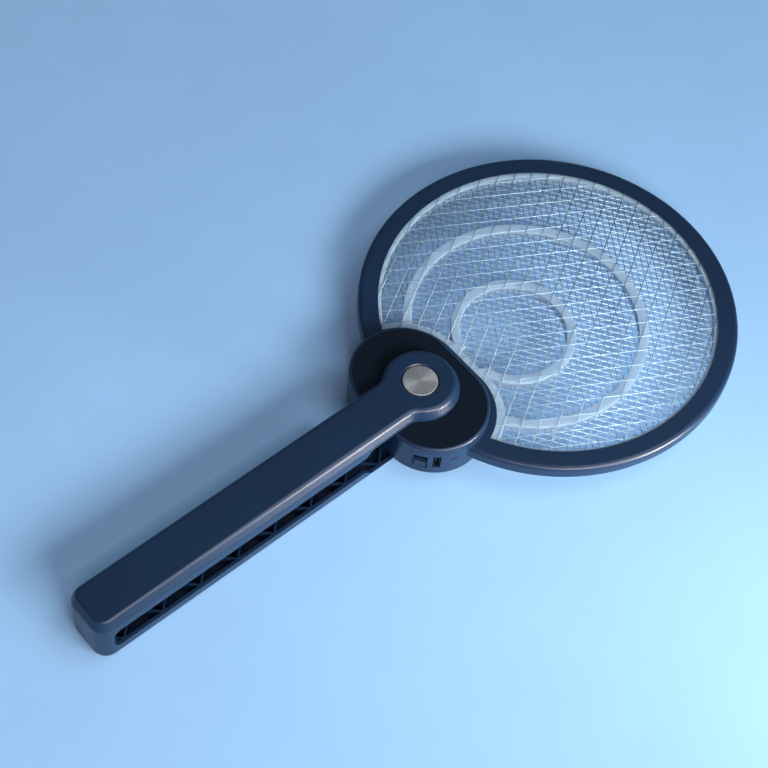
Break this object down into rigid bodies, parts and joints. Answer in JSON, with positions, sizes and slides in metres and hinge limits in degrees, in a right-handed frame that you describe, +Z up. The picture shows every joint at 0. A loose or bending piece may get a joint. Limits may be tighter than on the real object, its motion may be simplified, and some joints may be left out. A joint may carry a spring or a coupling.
{
  "type": "folding electric fly swatter",
  "caption": "Round mesh head with battery hub that folds into the slot of a forked handle, for swatting flies with a high-voltage grid.",
  "frame": {"origin": "centre of the bounding box in plan, on the flat underside of the lower arm that it lies on", "axes": "+Y along the object from the handle's butt to the ring's far rim, +Z up through both arms along the pivot, +X to the right, towards the side panel"},
  "size_m": [0.21, 0.4147, 0.0368],
  "materials": {
    "navy_plastic": "satin",
    "dark_inlay": "matt",
    "clear_plastic": "milky clear",
    "wire_steel": "bright",
    "spun_steel": "spun",
    "screw_steel": "zinc plated",
    "washer_nylon": "matt",
    "bush_brass": "turned",
    "board_green": "solder mask",
    "battery_sleeve": "shrink sleeve",
    "coil_tape": "taped winding",
    "capacitor_case": "sleeved",
    "black_plastic": "moulded",
    "knob_navy": "satin",
    "lamp_lens": "smoked"
  },
  "bodies": {
    "handle": {"handle_top": "navy_plastic", "handle_bottom": "navy_plastic", "butt_screws": "screw_steel", "pivot_post": "screw_steel", "pivot_screw": "screw_steel", "friction_washers": "washer_nylon", "pivot_caps": "spun_steel"},
    "head": {"head_front": "navy_plastic", "head_back": "navy_plastic", "inlay_front": "dark_inlay", "inlay_back": "dark_inlay", "side_panel": "navy_plastic", "spacer_front": "clear_plastic", "spacer_back": "clear_plastic", "mesh_front": "wire_steel", "mesh_center": "wire_steel", "mesh_back": "wire_steel", "pivot_bush": "bush_brass", "hub_screws": "screw_steel", "circuit_board": "board_green", "battery": "battery_sleeve", "battery_contacts": "screw_steel", "transformer": "coil_tape", "capacitors": "capacitor_case", "panel_board": "board_green", "switch_body": "black_plastic", "usb_socket": "screw_steel", "indicator_lens": "lamp_lens"},
    "switch": {"switch_knob": "knob_navy"}
  },
  "joints": [
    {"name": "head_fold", "type": "hinge", "parent": "handle", "child": "head", "pos_m": [0, 0.00715, 0.0184], "axis": [0, 0, 1], "range_deg": [0, 180]},
    {"name": "switch_slide", "type": "slide", "parent": "head", "child": "switch", "axis": [0, 0, 1], "range_m": [0, 0.004]}
  ]
}
